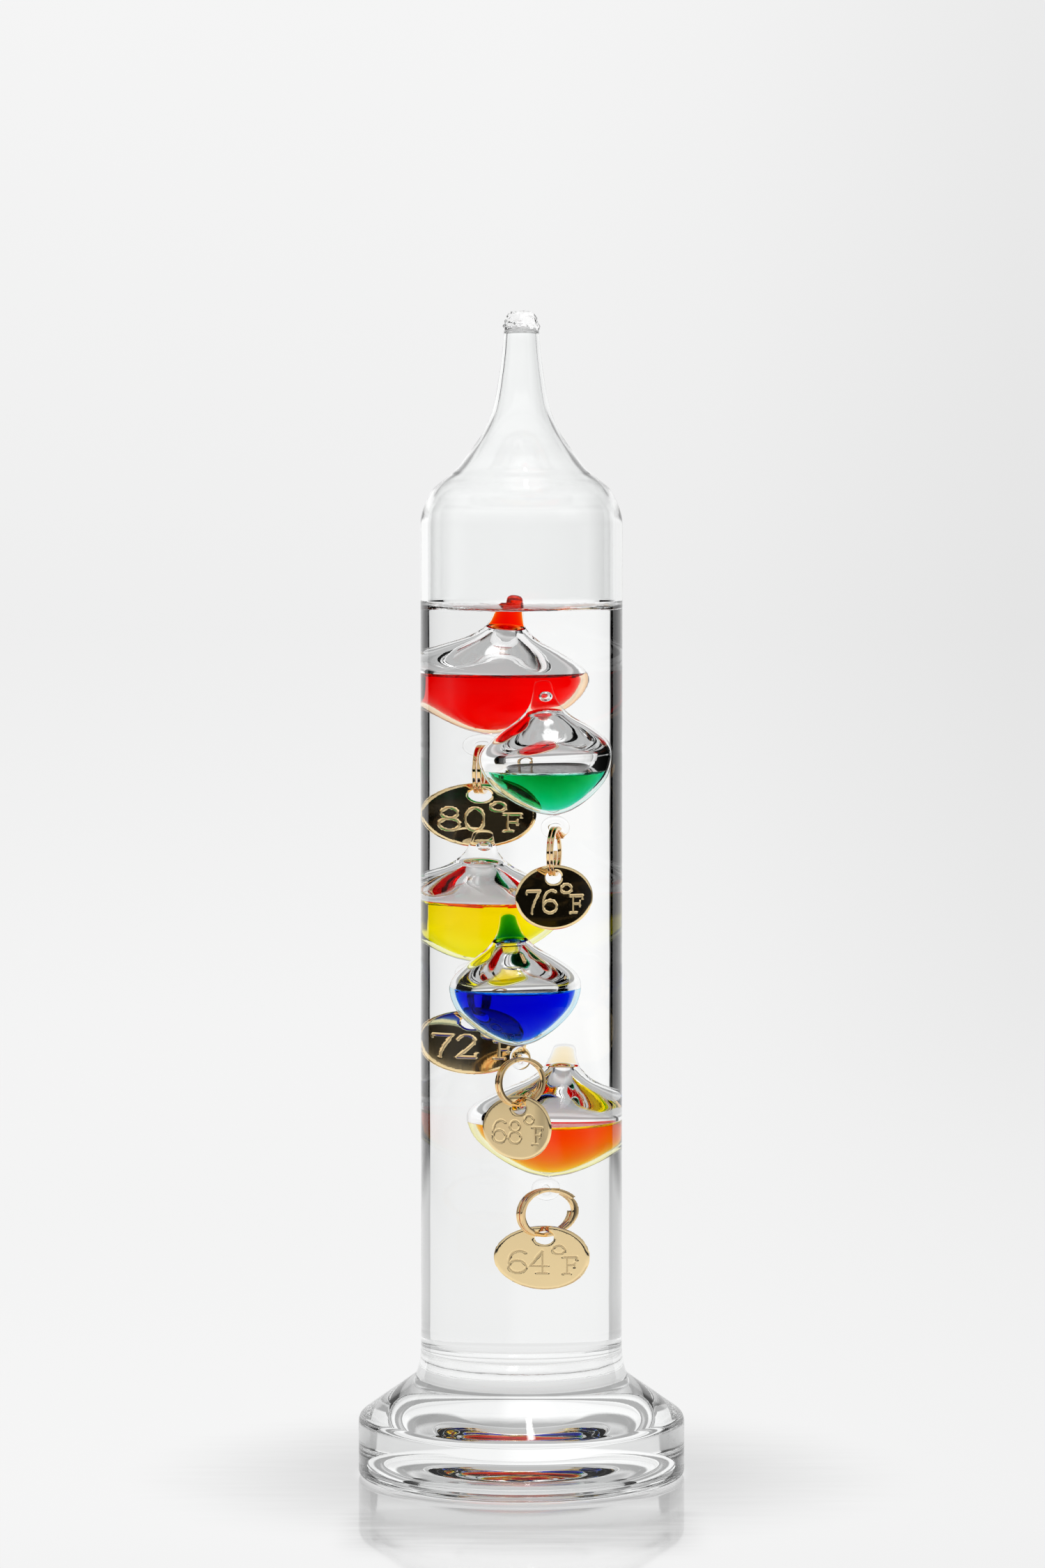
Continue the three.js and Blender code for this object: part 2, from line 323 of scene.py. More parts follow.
def clear(name, ior, tint=(1, 1, 1), absorb=None, bump=None):
    """Clear glass or liquid; without a bump of its own it is very faintly wavy."""
    material, nodes, links, shader = new_material(name)
    shader.inputs["Base Color"].default_value = (*tint, 1)
    shader.inputs["Roughness"].default_value = 0
    shader.inputs["Transmission Weight"].default_value = 1
    shader.inputs["IOR"].default_value = ior
    if absorb:
        density = max(absorb)
        volume = nodes.new("ShaderNodeVolumeAbsorption")
        volume.inputs["Color"].default_value = (*[1 - a / density for a in absorb], 1)
        volume.inputs["Density"].default_value = density
        links.new(volume.outputs["Volume"], nodes["Material Output"].inputs["Volume"])
    add_bump(nodes, links, shader, **(bump or FAINT_WAVES))
    return material


def soften(material):
    """The same material with a weaker reflection."""
    material.node_tree.nodes["Principled BSDF"].inputs["Specular Tint"].default_value = SOFT_SPECULAR
    return material


def gold(name, colour, low, high, scale, stretch, strength, engraved=False):
    """Plated metal with fine grain in its roughness and height, and duller where it is engraved."""
    material, nodes, links, shader = new_material(name)
    shader.inputs["Base Color"].default_value = (*colour, 1)
    shader.inputs["Metallic"].default_value = 1
    grain = add_bump(nodes, links, shader, scale, strength, 0.00002, stretch)
    spread = nodes.new("ShaderNodeMapRange")
    spread.inputs["To Min"].default_value = low
    spread.inputs["To Max"].default_value = high
    links.new(grain.outputs["Fac"], spread.inputs["Value"])
    roughness = spread.outputs["Result"]
    if engraved:
        mark = nodes.new("ShaderNodeAttribute")
        mark.attribute_name = "engraved"
        dull = nodes.new("ShaderNodeMapRange")
        dull.inputs["To Max"].default_value = 0.5
        links.new(mark.outputs["Fac"], dull.inputs["Value"])
        larger = nodes.new("ShaderNodeMath")
        larger.operation = "MAXIMUM"
        links.new(roughness, larger.inputs[0])
        links.new(dull.outputs["Result"], larger.inputs[1])
        roughness = larger.outputs["Value"]
    links.new(roughness, shader.inputs["Roughness"])
    return material


# drawn glass has faint upright draw lines
DRAW_LINES = dict(scale=60, strength=0.03, distance=0.0003, stretch=(9, 9, 0.6))
POURED_GLASS = dict(scale=90, strength=0.03, distance=0.0004, stretch=(1, 1, 3))
BEAD_PITS = dict(scale=420, strength=0.8, distance=0.0008)
RIM_RIPPLES = dict(scale=160, strength=0.5, distance=0.0006, stretch=(1, 1, 4))
ADHESIVE_RIPPLES = dict(scale=120, strength=0.1, distance=0.0003, stretch=(1, 1, 3))
DYE_RIPPLES = dict(scale=200, strength=0.3, distance=0.0005, stretch=(1, 3, 1))

column_outside = soften(clear("column_glass", N_GLASS, GLASS_TINT, bump=DRAW_LINES))
tip_outside = clear("column_tip", N_BEAD, bump=BEAD_PITS)
column_air = clear("column_glass_air_side", N_GLASS, GLASS_TINT)
column_wet = clear("column_glass_wet_side", N_GLASS / N_LIQUID)
through = clear("joined_glass", 1.0)
foot_outside = clear("foot_glass", N_FOOT, GLASS_TINT, bump=POURED_GLASS)
bond_outside = clear("bond_layer_clear", N_BOND, (0.985, 0.99, 0.987), bump=ADHESIVE_RIPPLES)
liquid_top = clear("filling_liquid_surface", N_LIQUID)
liquid_side = clear("filling_liquid", 1.0)
liquid_rim = clear("filling_liquid_meniscus", N_LIQUID_RIM, bump=RIM_RIPPLES)
float_outside = clear("float_glass", N_FLOAT_GLASS / N_LIQUID)
float_air = clear("float_glass_air_side", N_FLOAT_GLASS)
float_wet = clear("float_glass_wet_side", N_FLOAT_GLASS / N_DYE)
ring_gold = gold("ring_gold", (0.95, 0.68, 0.35), 0.02, 0.07, 900, (1, 1, 1), 0.1)
tag_gold = gold("tag_gold", (1.0, 0.77, 0.42), 0.02, 0.07, 700, (6, 6, 0.4), 0.04, engraved=True)


# ---- root pieces ------------------------------------------------------------------------------------
def make_column():
    """The blown column: outside with the lumpy tip, dry inside, wet inside, and the bottom that is glued."""
    bm = bmesh.new()
    corner = COLUMN_BOTTOM + COLUMN_CORNER
    turned(bm, [(0, COLUMN_BOTTOM), (COLUMN_RADIUS - COLUMN_CORNER, COLUMN_BOTTOM)], COLUMN_SIDES, 3)
    turned(bm, arc(COLUMN_RADIUS - COLUMN_CORNER, corner, COLUMN_CORNER, -90, 0, 10), COLUMN_SIDES, 3)
    outside = [(COLUMN_RADIUS, corner)] + [(COLUMN_RADIUS, z) for z in np.linspace(40, 220, 10)]
    outside += smooth(COLUMN_OUTSIDE, 5) + smooth(TIP_OUTSIDE, 5)[1:]
    skin = turned(bm, outside, COLUMN_SIDES, 0)
    noise.seed_set(BEAD_SEED)
    for vert in {v for face in skin for v in face.verts}:
        # the seal at the tip is lumpy, more so towards its top
        lump = min(max((vert.co.z / MM - BEAD_START) / BEAD_GROWTH, 0), 1)
        vert.co += noise.noise_vector(vert.co * BEAD_LUMPS_PER_METRE) * BEAD_LUMP * MM * lump
        vert.co.z -= BEAD_SAG * MM * lump
    for face in skin:
        if face.calc_center_median().z > BEAD_GLASS_START * MM:
            face.material_index = 4
    wet_line = LIQUID_LEVEL + MENISCUS_RISE
    dry = smooth(COLUMN_INSIDE, 5) + [(COLUMN_INNER, 216), (COLUMN_INNER, wet_line)]
    turned(bm, dry, COLUMN_SIDES, 1)
    wet = [(COLUMN_INNER, wet_line)] + [(COLUMN_INNER, z) for z in np.linspace(200, 40, 9)]
    wet += arc(COLUMN_INNER - INNER_CORNER, COLUMN_FLOOR + INNER_CORNER, INNER_CORNER, 0, -90, 10)
    wet += [(0, COLUMN_FLOOR)]
    turned(bm, wet, COLUMN_SIDES, 2)
    bmesh.ops.remove_doubles(bm, verts=bm.verts, dist=WELD)
    materials = [column_outside, column_air, column_wet, through, tip_outside]
    nodes = ["glass_column", "tip_seal"]
    return make("column_glass_piece", bm, materials, "root", nodes, sharp=50)


def make_liquid():
    """The clear liquid that the floats hang in."""
    bm = bmesh.new()
    side = COLUMN_INNER + LAP
    low = COLUMN_FLOOR - LAP
    edge = [(0, low)] + arc(side - INNER_CORNER, low + INNER_CORNER, INNER_CORNER, -90, 0, 10)
    edge += [(side, LIQUID_LEVEL + MENISCUS_RISE)]
    turned(bm, edge, LIQUID_SIDES, 1)
    # the surface climbs the wall on a wetting liquid's capillary curve, upright where it meets the glass
    length = MENISCUS_RISE / math.sqrt(2)
    top = []
    for angle in [90, 82, 74, 66, 58, 50, 43, 36, 30, 24, 18, 13, 9, 6, 3.5]:
        rise = 2 * length * math.sin(math.radians(angle) / 2)
        run = length * (math.acosh(2 * length / rise) - math.acosh(math.sqrt(2)))
        run += math.sqrt(4 * length**2 - MENISCUS_RISE**2) - math.sqrt(4 * length**2 - rise**2)
        top.append((side - run, LIQUID_LEVEL + rise))
    turned(bm, top, LIQUID_SIDES, 2)
    turned(bm, [top[-1], (8, LIQUID_LEVEL), (0, LIQUID_LEVEL)], LIQUID_SIDES, 0)
    bmesh.ops.remove_doubles(bm, verts=bm.verts, dist=WELD)
    materials = [liquid_top, liquid_side, liquid_rim]
    return make("filling_liquid_piece", bm, materials, "root", [], sharp=60)


def make_foot():
    """The heavy foot: the hollow underneath, the rim, the cone, and the neck under the adhesive."""
    bm = bmesh.new()
    outline = [(0, HOLLOW_HEIGHT)]
    for i in range(HOLLOW_STEPS + 1):
        angle = math.pi / 2 * i / HOLLOW_STEPS
        radius = HOLLOW_CROWN_RADIUS + (HOLLOW_RADIUS - HOLLOW_CROWN_RADIUS) * math.sin(angle)
        outline.append((radius, HOLLOW_LOW + (HOLLOW_HEIGHT - HOLLOW_LOW) * math.cos(angle)))
    outline += HOLLOW_STEP
    outline += arc(FOOT_RADIUS - FOOT_EDGE, FOOT_EDGE, FOOT_EDGE, -90, 0, 6)
    outline += [(FOOT_RADIUS, 4), (FOOT_RADIUS, 8)]
    outline += arc(FOOT_RADIUS - FOOT_SHOULDER, FOOT_RIM_TOP, FOOT_SHOULDER, 0, FOOT_SHOULDER_TURN, 10)
    outline += [FOOT_NECK]
    turned(bm, outline, FOOT_SIDES, 0)
    neck = [FOOT_NECK, (FOOT_NECK_TOP_RADIUS, FOOT_TOP), (BOND_RADIUS, FOOT_TOP), (0, FOOT_TOP)]
    turned(bm, neck, FOOT_SIDES, 1)
    bmesh.ops.remove_doubles(bm, verts=bm.verts, dist=WELD)
    materials = [foot_outside, through]
    return make("foot_glass_piece", bm, materials, "root", ["glass_foot"], sharp=28)


def make_bond():
    """The clear adhesive between the foot and the column, with its fillet outside.

    It joins the two so well that only the fillet's skin bends light.
    """
    bm = bmesh.new()
    low = FOOT_TOP + BOND_GAP
    high = COLUMN_BOTTOM - BOND_GAP
    layer = [(0, low), (BOND_RADIUS, low), (22.7, 26.6), (21.5, high), (0, high)]
    turned(bm, layer, COLUMN_SIDES, 1)
    turned(bm, smooth(BOND_SKIN, 4), COLUMN_SIDES, 0)
    turned(bm, BOND_BACK, COLUMN_SIDES, 1)
    bmesh.ops.remove_doubles(bm, verts=bm.verts, dist=WELD)
    materials = [bond_outside, through]
    return make("bond_layer_piece", bm, materials, "root", ["bond_layer"], sharp=40)


# ---- float pieces -----------------------------------------------------------------------------------
def float_matrix(spec):
    """The float's place and lean."""
    place = Matrix.Translation(Vector(spec["at"]) * MM)
    lean_x, lean_y = (math.radians(a) for a in spec["lean"])
    return place @ Matrix.Rotation(-lean_y, 4, "X") @ Matrix.Rotation(lean_x, 4, "Y")


def hanging_point(spec):
    """The middle of the eye under the float."""
    return float_matrix(spec) @ Vector((0, 0, -EYE_DROP * MM))


def float_profiles(spec, depth):
    """The float's outer curve, its inner curve, both from the bottom up, and the air space's top."""
    outside = smooth(FLOAT_CURVE, 8)
    added = [min(max((z - STEM_START) / STEM_STRETCH, 0), 1) * spec["longer"] for r, z in outside]
    outside = [(r * (1 + STEM_SWELL * more), z + more) for (r, z), more in zip(outside, added)]
    crown = STEM_TOP + spec["longer"] - spec["air"]
    wall = [q for q in inset(outside, depth) if q[1] < crown - DOME_RISE][2:]
    radius, start = wall[-1]
    turn = np.linspace(0, math.pi / 2, 9)[1:]
    dome = [(radius * math.cos(a), start + (crown - start) * math.sin(a)) for a in turn]
    dome[-1] = (0, crown)
    inside = [(0, FLOAT_BOTTOM + depth * 1.6)] + wall + dome
    return outside, inside, crown


def dye_level(spec):
    """Where the dye meets the glass."""
    return Vector((0, 0, (spec["at"][2] + spec["dye"] + DYE_CLIMB) * MM))


def make_shell(colour, spec):
    """The blown glass of a float: outside in the liquid, inside over air, inside under dye."""
    bm = bmesh.new()
    outside, inside, _ = float_profiles(spec, FLOAT_WALL)
    place = float_matrix(spec)
    turned(bm, outside, FLOAT_SIDES, 0, place)
    hollow = turned(bm, inside[::-1], FLOAT_SIDES, 1, place)
    level = dye_level(spec)
    geometry = list({v for f in hollow for v in f.verts})
    geometry += list({e for f in hollow for e in f.edges})
    geometry += hollow
    bmesh.ops.bisect_plane(bm, geom=geometry, plane_co=level, plane_no=(0, 0, 1), dist=WELD)
    surface = LIQUID_LEVEL * MM
    for face in bm.faces:
        height = face.calc_center_median().z
        if face.material_index == 1 and height < level.z:
            face.material_index = 2
        if face.material_index == 0 and height > surface:
            face.material_index = 1
    if not spec["plug"]:
        # a gas bubble caught in the solid stem
        radius = BUBBLE_RADIUS * MM
        bubble = bmesh.ops.create_uvsphere(bm, u_segments=32, v_segments=16, radius=radius)["verts"]
        lift = Matrix.Translation(Vector((BUBBLE_ASIDE, 0, STEM_TOP - BUBBLE_DROP)) * MM)
        bmesh.ops.transform(bm, matrix=place @ lift, verts=bubble)
        for face in {f for v in bubble for f in v.link_faces}:
            face.normal_flip()
            face.smooth = True
            face.material_index = 1
    bmesh.ops.remove_doubles(bm, verts=bm.verts, dist=WELD)
    materials = [float_outside, float_air, float_wet]
    nodes = [f"{colour}_float_shell", f"{colour}_stem_seal"]
    return make(f"{colour}_float_glass", bm, materials, f"{colour}_float", nodes)


def make_plug(colour, spec):
    """Dye held in the stem by its own surface tension."""
    bm = bmesh.new()
    outside, _, crown = float_profiles(spec, FLOAT_WALL)
    tip = STEM_TOP + spec["longer"] - PLUG_BELOW_TIP
    side = [q for q in inset(outside, PLUG_DEPTH) if crown - PLUG_SKIRT < q[1] < tip]
    low_radius, low = side[0]
    top_radius, top = side[-1]
    cap = [
        (top_radius * math.cos(math.radians(a)), top + PLUG_CAP * math.sin(math.radians(a)))
        for a in (15, 30, 45, 60, 75)
    ]
    arch = crown + PLUG_GAP - low
    turn = np.linspace(math.pi / 2, 0, 9)
    hollow = [(low_radius * math.cos(a), low + arch * math.sin(a)) for a in turn]
    hollow[0] = (0, crown + PLUG_GAP)
    profile = hollow + side[1:] + cap + [(0, top + PLUG_CAP)]
    turned(bm, profile, PLUG_SIDES, 0, float_matrix(spec))
    material = clear(f"{colour}_stem_dye", 1.0, absorb=spec["stem_absorb"])
    return make(f"{colour}_stem_dye", bm, [material], f"{colour}_float", [], sharp=50)


def make_dye(colour, spec):
    """The dyed liquid in a float: the float's inside cut off level, with a rim that climbs the glass."""
    bm = bmesh.new()
    inside = float_profiles(spec, FLOAT_WALL - LAP)[1]
    turned(bm, inside, FLOAT_SIDES, 1, float_matrix(spec))
    level = dye_level(spec)
    geometry = bm.verts[:] + bm.edges[:] + bm.faces[:]
    bmesh.ops.bisect_plane(
        bm, geom=geometry, plane_co=level, plane_no=(0, 0, 1), clear_outer=True, dist=WELD
    )
    rim = [e for e in bm.edges if e.is_boundary]
    top = bmesh.ops.contextual_create(bm, geom=rim)["faces"]
    for depth in DYE_RIM_DEPTHS:
        bmesh.ops.inset_region(bm, faces=top, thickness=DYE_RIM_WIDTH * MM, depth=-depth * MM)
    for face in bm.faces:
        height = face.calc_center_median().z
        if face.normal.z > 0.3 and height > level.z - DYE_SURFACE_BAND * MM:
            face.material_index = 0
            face.smooth = True
    surface = clear(f"{colour}_dye_surface", N_DYE, absorb=spec["absorb"], bump=DYE_RIPPLES)
    body = clear(f"{colour}_dye_body", 1.0, absorb=spec["absorb"])
    materials = [soften(surface), body]
    nodes = [f"{colour}_float_dye"]
    return make(f"{colour}_dye", bm, materials, f"{colour}_float", nodes, sharp=50)


def make_eye(colour, spec):
    """The glass loop under the float, thicker at its top."""
    bm = bmesh.new()
    middle = EYE_HOLE_RADIUS + EYE_WIRE_RADIUS
    rings = []
    for i in range(EYE_STEPS):
        a = 2 * math.pi * i / EYE_STEPS
        thick = EYE_WIRE_RADIUS * (1 + EYE_THICKENING * max(math.sin(a), 0) ** 2)
        ring = []
        for j in range(EYE_SIDES):
            b = 2 * math.pi * j / EYE_SIDES
            reach = middle + thick * math.cos(b)
            spot = (thick * math.sin(b) * MM, reach * math.cos(a) * MM, reach * math.sin(a) * MM)
            ring.append(bm.verts.new(spot))
        rings.append(ring)
    for i in range(EYE_STEPS):
        for j in range(EYE_SIDES):
            k = (i + 1) % EYE_STEPS
            m = (j + 1) % EYE_SIDES
            face = bm.faces.new((rings[i][j], rings[k][j], rings[k][m], rings[i][m]))
            face.smooth = True
    bmesh.ops.recalc_face_normals(bm, faces=bm.faces)
    place = Matrix.Translation(hanging_point(spec)) @ Matrix.Rotation(math.radians(spec["ring"]), 4, "Z")
    bmesh.ops.transform(bm, matrix=place, verts=bm.verts)
    nodes = [f"{colour}_float_eye"]
    return make(f"{colour}_eye_glass", bm, [float_outside], f"{colour}_float", nodes)


def make_ring(colour, spec):
    """A split ring of flat wire with round corners, wound as a short helix about Y."""
    bm = bmesh.new()
    wide = RING_WIRE_WIDE / 2 - RING_WIRE_CORNER
    thick = RING_WIRE_THICK / 2 - RING_WIRE_CORNER
    section = []
    for cx, cy, start in ((1, 1, 0), (-1, 1, 90), (-1, -1, 180), (1, -1, 270)):
        section += arc(cx * wide, cy * thick, RING_WIRE_CORNER, start, start + 90, 3)
    loops = []
    for i in range(RING_STEPS + 1):
        angle = math.radians(RING_START) + RING_TURNS * 2 * math.pi * i / RING_STEPS
        across = RING_PITCH * ((angle - math.pi / 2) / (2 * math.pi) - 0.5)
        radial = Vector((math.cos(angle), 0, math.sin(angle)))
        centre = radial * RING_RADIUS + Vector((0, across, 0))
        loops.append([bm.verts.new((centre + radial * u + Vector((0, v, 0))) * MM) for u, v in section])
    count = len(section)
    for a, b in zip(loops, loops[1:]):
        for j in range(count):
            face = bm.faces.new((a[j], a[(j + 1) % count], b[(j + 1) % count], b[j]))
            face.smooth = True
    bm.faces.new(loops[0][::-1])
    bm.faces.new(loops[-1])
    bmesh.ops.recalc_face_normals(bm, faces=bm.faces)
    at = hanging_point(spec) - Vector((0, 0, (RING_HANG + RING_RADIUS) * MM))
    place = Matrix.Translation(at) @ Matrix.Rotation(math.radians(spec["ring"]), 4, "Z")
    bmesh.ops.transform(bm, matrix=place, verts=bm.verts)
    nodes = [f"{colour}_split_ring"]
    return make(f"{colour}_ring_gold", bm, [ring_gold], f"{colour}_ring", nodes, sharp=60)


# ---- stamped tags ---------------------------------------------------------------------------------
def bow(cx, cy, rx, ry, start, end, steps=18):
    """Points along an oval's arc, with its angles in degrees."""
    angles = [math.radians(start + (end - start) * i / steps) for i in range(steps + 1)]
    return [(cx + rx * math.cos(a), cy + ry * math.sin(a)) for a in angles]


# each character as strokes about its own middle, in millimetres
GLYPHS = {
    "0": [bow(0, 0, 1.25, 2.7, 0, 360, 32)],
    "2": [
        bow(-0.05, 1.35, 1.15, 1.35, 170, -35) + [(-1.3, -2.55)], [(-1.3, -2.6), (1.25, -2.6), (1.3, -1.9)],
    ],
    "4": [[(0.5, -2.6), (0.5, 2.7), (-1.4, -0.95), (1.3, -0.95)], [(-0.2, -2.65), (1.2, -2.65)]],
    "6": [bow(0, -1.15, 1.3, 1.5, 0, 360, 28), bow(0.35, 0.0, 1.65, 2.65, 195, 62)],
    "7": [[(-1.3, 2.0), (-1.25, 2.6), (1.35, 2.6), (0.35, 0.2), (-0.1, -1.4), (-0.2, -2.7)]],
    "8": [bow(0, 1.4, 1.05, 1.25, 0, 360, 26), bow(0, -1.3, 1.3, 1.4, 0, 360, 28)],
    "degree": [bow(0, 0, 1.0, 1.05, 0, 360, 24)],
    "F": [
        [(-0.7, -1.95), (-0.7, 2.0)], [(-1.15, 2.0), (1.05, 2.0), (1.1, 1.3)], [(-0.7, 0.1), (0.6, 0.1)],
        [(0.6, 0.5), (0.6, -0.35)], [(-1.15, -2.0), (-0.2, -2.0)],
    ],
}
LETTER_PLACES = ((-4.1, -1.0), (-0.75, -1.0), (2.45, 2.0), (4.5, -1.75))


def strokes_for(text):
    """The strokes of a tag's two figures, degree sign and F, about the disc's middle."""
    strokes = []
    for glyph, (cx, cy) in zip((text[0], text[1], "degree", "F"), LETTER_PLACES):
        strokes += [[(x + cx, y + cy) for x, y in stroke] for stroke in GLYPHS[glyph]]
    return strokes


def distance_to(points, strokes):
    """Each point's distance to the nearest stroke."""
    best = np.full(len(points), 1e9)
    for stroke in strokes:
        for a, b in zip(stroke, stroke[1:]):
            a = np.array(a)
            span = np.array(b) - a
            t = np.clip(((points - a) @ span) / max(span @ span, 1e-12), 0, 1)
            gap = np.linalg.norm(points - (a + t[:, None] * span), axis=1)
            best = np.minimum(best, gap)
    return best


def tag_points(strokes):
    """The points of a tag's two rims, and those of its face: rings, rows along each stroke, and a fill."""
    middle = np.zeros(2)
    hole = np.array([0, TAG_HOLE_OFFSET])

    def circle(centre, radius, count, shift=0):
        turn = (np.arange(count) + shift) * 2 * math.pi / count
        return centre + radius * np.stack([np.cos(turn), np.sin(turn)], axis=1)

    rims = [circle(middle, TAG_RADIUS, 144), circle(hole, TAG_HOLE_RADIUS, 48)]
    inner = [
        circle(middle, TAG_RADIUS - 0.12, 144, 0.5), circle(middle, TAG_RADIUS - 0.3, 144, 0.5),
        circle(middle, TAG_RADIUS - 0.6, 120, 0.5), circle(hole, TAG_HOLE_RADIUS + 0.1, 48, 0.5),
        circle(hole, TAG_HOLE_RADIUS + 0.25, 48, 0.5),
    ]
    rows = []
    for stroke in strokes:
        for start, end in zip(stroke, stroke[1:]):
            start = np.array(start)
            span = np.array(end) - start
            length = np.linalg.norm(span)
            side = np.array([-span[1], span[0]]) / max(length, 1e-9)
            for t in np.linspace(0, 1, max(2, int(length / GROOVE_STEP))):
                for share in (-1, -0.5, 0, 0.5, 1):
                    rows.append(start + span * t + side * share * GROOVE_HALF_WIDTH)
    inner.append(np.array(rows))
    grid = []
    for i, y in enumerate(np.arange(-TAG_RADIUS, TAG_RADIUS, FILL_STEP * 0.866)):
        for x in np.arange(-TAG_RADIUS + (i % 2) * FILL_STEP / 2, TAG_RADIUS, FILL_STEP):
            grid.append((x, y))
    grid = np.array(grid)
    keep = (np.hypot(*grid.T) < TAG_RADIUS - 0.7) & (np.hypot(*(grid - hole).T) > TAG_HOLE_RADIUS + 0.4)
    keep &= distance_to(grid, strokes) > 0.25
    return rims, np.concatenate(inner + [grid[keep]])


def make_tag(colour, spec):
    """A stamped disc with a hole: slightly domed, its edges rounded, its numbers cut into the front."""
    strokes = strokes_for(spec["text"])
    rims, inner = tag_points(strokes)
    points = np.concatenate(rims + [inner])
    edges = []
    start = 0
    for rim in rims:
        edges += [(start + i, start + (i + 1) % len(rim)) for i in range(len(rim))]
        start += len(rim)
    flat = delaunay_2d_cdt([Vector(p) for p in points], edges, [], 1, 1e-4)
    spots = np.array([tuple(v) for v in flat[0]])
    hole = np.array([0, TAG_HOLE_OFFSET])
    triangles = []
    for tri in flat[2]:
        centre = spots[list(tri)].mean(0)
        if np.hypot(*(centre - hole)) > TAG_HOLE_RADIUS * 0.998 and np.hypot(*centre) < TAG_RADIUS:
            triangles.append(tri)
    radius = np.hypot(*spots.T)
    near_rim = np.clip((radius - (TAG_RADIUS - TAG_EDGE_WIDTH)) / TAG_EDGE_WIDTH, 0, 1)
    bore = np.hypot(*(spots - hole).T)
    near_hole = np.clip((TAG_HOLE_RADIUS + TAG_HOLE_WIDTH - bore) / TAG_HOLE_WIDTH, 0, 1)
    round_over = TAG_EDGE_DROP * near_rim**2 + TAG_HOLE_DROP * near_hole**2
    dome = TAG_DOME * (1 - (radius / TAG_RADIUS) ** 2)
    groove = np.clip(1 - (distance_to(spots, strokes) / GROOVE_HALF_WIDTH) ** 2, 0, 1) * GROOVE_DEPTH
    front = TAG_THICKNESS / 2 - round_over + dome - groove
    back = -TAG_THICKNESS / 2 + round_over * 0.8 + dome * 0.8
    bm = bmesh.new()
    engraved = bm.verts.layers.float.new("engraved")

    def face_verts(depths):
        # the disc stands in the XZ plane, its front towards -Y and its hole's centre at the origin
        return [
            bm.verts.new((x * MM, -depth * MM, (y - TAG_HOLE_OFFSET) * MM))
            for (x, y), depth in zip(spots, depths)
        ]

    lower = face_verts(front)
    upper = face_verts(back)
    # how deep in a groove each point of the front is, from 0 to 1
    for vert, depth in zip(lower, groove):
        vert[engraved] = min(max(depth - 0.03, 0) / 0.05, 1)
    sides = {}
    for tri in triangles:
        a, b, c = tri
        bm.faces.new((lower[a], lower[b], lower[c]))
        bm.faces.new((upper[c], upper[b], upper[a]))
        for e in ((a, b), (b, c), (c, a)):
            sides.setdefault(tuple(sorted(e)), []).append(e)
    for found in sides.values():
        if len(found) == 1:
            a, b = found[0]
            bm.faces.new((lower[b], lower[a], upper[a], upper[b]))
    loose = [v for v in bm.verts if not v.link_faces]
    bmesh.ops.delete(bm, geom=loose, context="VERTS")
    bmesh.ops.recalc_face_normals(bm, faces=bm.faces)
    for face in bm.faces:
        face.smooth = True
    # the ring's two turns lie side by side at its bottom, and the tag hangs midway between them
    turn = math.radians(spec["ring"])
    at = hanging_point(spec) - Vector((0, 0, (RING_HANG + 2 * RING_RADIUS + TAG_HANG) * MM))
    at += Vector((-math.sin(turn), math.cos(turn), 0)) * RING_PITCH / 2 * MM
    place = Matrix.Translation(at) @ Matrix.Rotation(math.radians(spec["tag"]), 4, "Z")
    bmesh.ops.transform(bm, matrix=place, verts=bm.verts)
    node = f"{colour}_tag"
    return make(f"{colour}_tag_gold", bm, [tag_gold], node, [node], sharp=50)


# ---- the room ----------------------------------------------------------------------------------------
CAMERA_PLACE = (0.00025, -1.220, 0.234)
CAMERA_DOWNWARD_TILT = 3.23
CAMERA_LENS = 118
CAMERA_SENSOR = 36


def make_camera():
    """A long lens straight in front, a little above the middle, looking slightly down."""
    camera = bpy.data.cameras.new("camera")
    camera.sensor_fit = "VERTICAL"
    camera.sensor_height = CAMERA_SENSOR
    camera.lens = CAMERA_LENS
    camera.clip_end = 50
    obj = bpy.data.objects.new("camera", camera)
    obj.location = CAMERA_PLACE
    obj.rotation_euler = (math.radians(90 - CAMERA_DOWNWARD_TILT), 0, 0)
    bpy.context.scene.collection.objects.link(obj)
    bpy.context.scene.camera = obj


def ramp(nodes, links, value, stops):
    """Grey levels in straight lines between stops, which are pairs of a value and a level."""
    low = stops[0][0]
    high = stops[-1][0]
    spread = nodes.new("ShaderNodeMapRange")
    spread.inputs["From Min"].default_value = low
    spread.inputs["From Max"].default_value = high
    colours = nodes.new("ShaderNodeValToRGB")
    elements = colours.color_ramp.elements
    for at, _ in stops[1:-1]:
        elements.new((at - low) / (high - low))
    for element, (at, level) in zip(elements, stops):
        element.position = (at - low) / (high - low)
        element.color = (level, level, level, 1)
    links.new(value, spread.inputs["Value"])
    links.new(spread.outputs["Result"], colours.inputs["Fac"])
    return colours.outputs["Color"]


def maths(nodes, links, operation, a, b=None, clamp=False):
    """One step of arithmetic on numbers or sockets."""
    node = nodes.new("ShaderNodeMath")
    node.operation = operation
    node.use_clamp = clamp
    for socket, value in zip(node.inputs, (a, b)):
        if value is None:
            continue
        if isinstance(value, (int, float)):
            socket.default_value = value
        else:
            links.new(value, socket)
    return node.outputs[0]


def product(nodes, links, *values):
    """All the values multiplied together."""
    total = values[0]
    for value in values[1:]:
        total = maths(nodes, links, "MULTIPLY", total, value)
    return total


def tinted(nodes, links, a, b):
    """Two colours multiplied together."""
    node = nodes.new("ShaderNodeVectorMath")
    node.operation = "MULTIPLY"
    links.new(a, node.inputs[0])
    links.new(b, node.inputs[1])
    return node.outputs[0]


